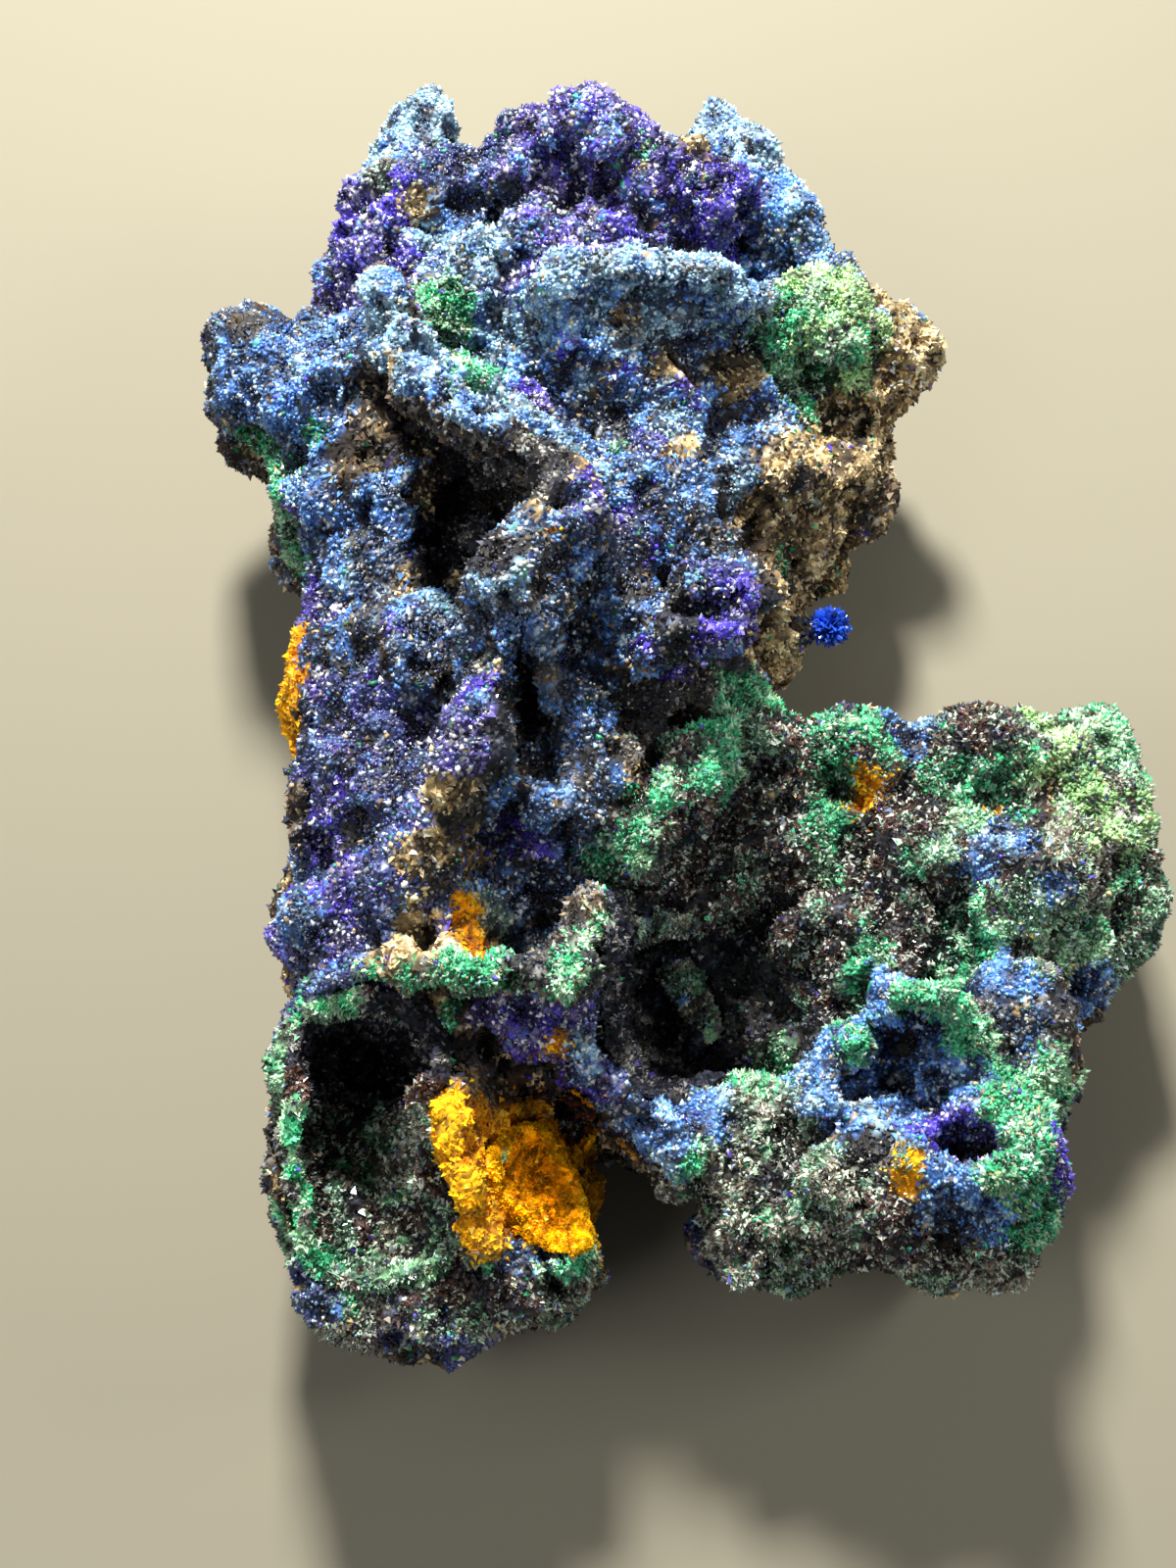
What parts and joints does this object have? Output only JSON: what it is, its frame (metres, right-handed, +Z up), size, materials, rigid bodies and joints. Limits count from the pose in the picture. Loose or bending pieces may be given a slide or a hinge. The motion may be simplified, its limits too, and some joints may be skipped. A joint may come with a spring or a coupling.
{
  "type": "azurite specimen",
  "caption": "Rough lump of brown limonite overgrown with blue azurite and green malachite, with ridges, a boss and open crystal-lined hollows, lying flat on its broken back.",
  "frame": {"origin": "middle of the specimen's outline seen from above, on the surface it rests on", "axes": "+Y along the length, from the pocket end to the boss end; +X across, towards the side lobe; +Z up, away from the flat broken back"},
  "size_m": [0.081, 0.1082, 0.0446],
  "materials": {
    "rock": "matt to glittering granular azurite and malachite on earthy limonite",
    "drusy_crust": "dark drusy crust with pale green spangles",
    "ochre": "matt, powdery ochre",
    "azurite": "glassy small blue crystals"
  },
  "bodies": {
    "root": {"rock": "rock", "left_pocket_crust": "drusy_crust", "right_vug_crust": "drusy_crust", "ochre_lining": "ochre", "azurite_rosette": "azurite"}
  },
  "joints": []
}
